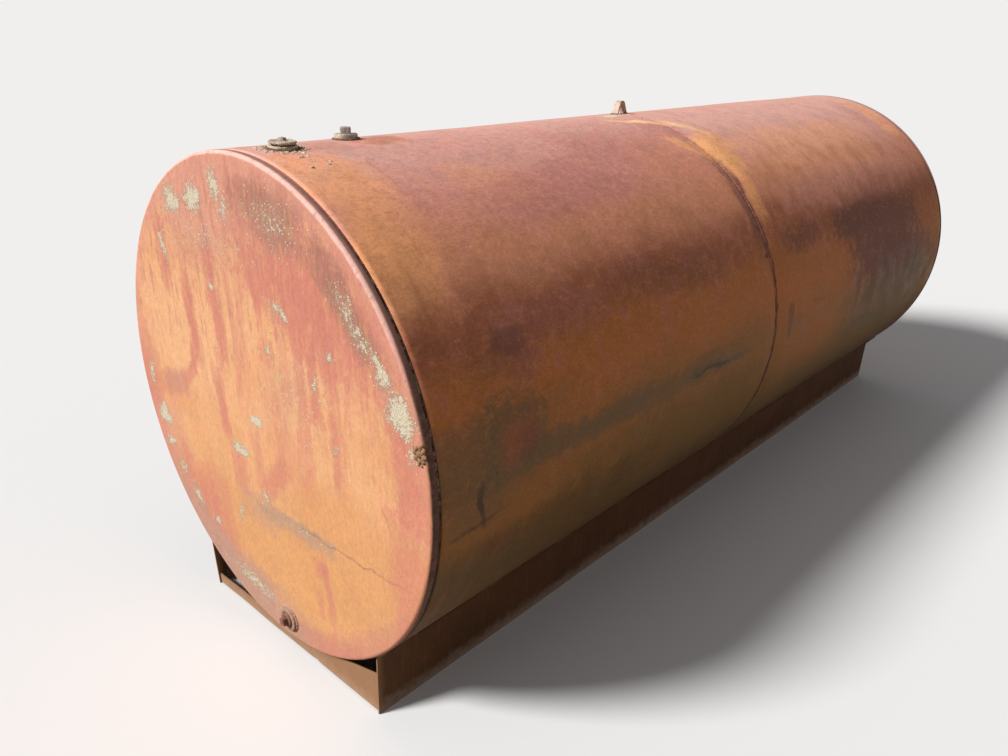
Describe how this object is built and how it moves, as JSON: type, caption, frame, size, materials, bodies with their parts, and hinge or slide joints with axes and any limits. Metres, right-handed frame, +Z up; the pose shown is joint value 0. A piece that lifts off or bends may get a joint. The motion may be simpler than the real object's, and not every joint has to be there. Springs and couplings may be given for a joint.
{
  "type": "horizontal storage tank",
  "caption": "Horizontal steel fuel storage tank on plate skids, with flat flanged heads, screwed top bungs, an end drain and a lifting lug.",
  "frame": {"origin": "centre of the object's box, on the ground under the skids", "axes": "+Y along the tank away from the drain end, +Z up, +X to the right seen from the drain end"},
  "size_m": [1.2619, 3.074, 1.3443],
  "materials": {
    "shell_paint": "worn primer and thin rust, satin",
    "head_paint": "worn primer, lichen specks, matt",
    "skid_paint": "rusted primer, matt",
    "weld_metal": "rusted weld bead, rough",
    "bung_iron": "weathered cast iron, matt",
    "plug_iron": "rusted and dusty cast iron, matt",
    "lug_steel": "dull primer over steel"
  },
  "bodies": {
    "root": {"shell_course_front": "shell_paint", "shell_course_rear": "shell_paint", "head_front": "head_paint", "head_rear": "head_paint", "head_weld_front": "weld_metal", "head_weld_rear": "weld_metal", "girth_weld": "weld_metal", "long_weld_front": "weld_metal", "long_weld_rear": "weld_metal", "skid_left": "skid_paint", "skid_right": "skid_paint", "skid_weld_left": "weld_metal", "skid_weld_right": "weld_metal", "cross_plate_front": "skid_paint", "cross_plate_rear": "skid_paint", "cross_weld_front": "weld_metal", "cross_weld_rear": "weld_metal", "fill_bung": "bung_iron", "fill_plug": "plug_iron", "fill_bung_weld": "weld_metal", "vent_bung": "bung_iron", "vent_plug": "plug_iron", "vent_bung_weld": "weld_metal", "drain_bung": "bung_iron", "drain_plug": "plug_iron", "drain_bung_weld": "weld_metal", "lifting_lug": "lug_steel", "lug_weld": "weld_metal"}
  },
  "joints": []
}
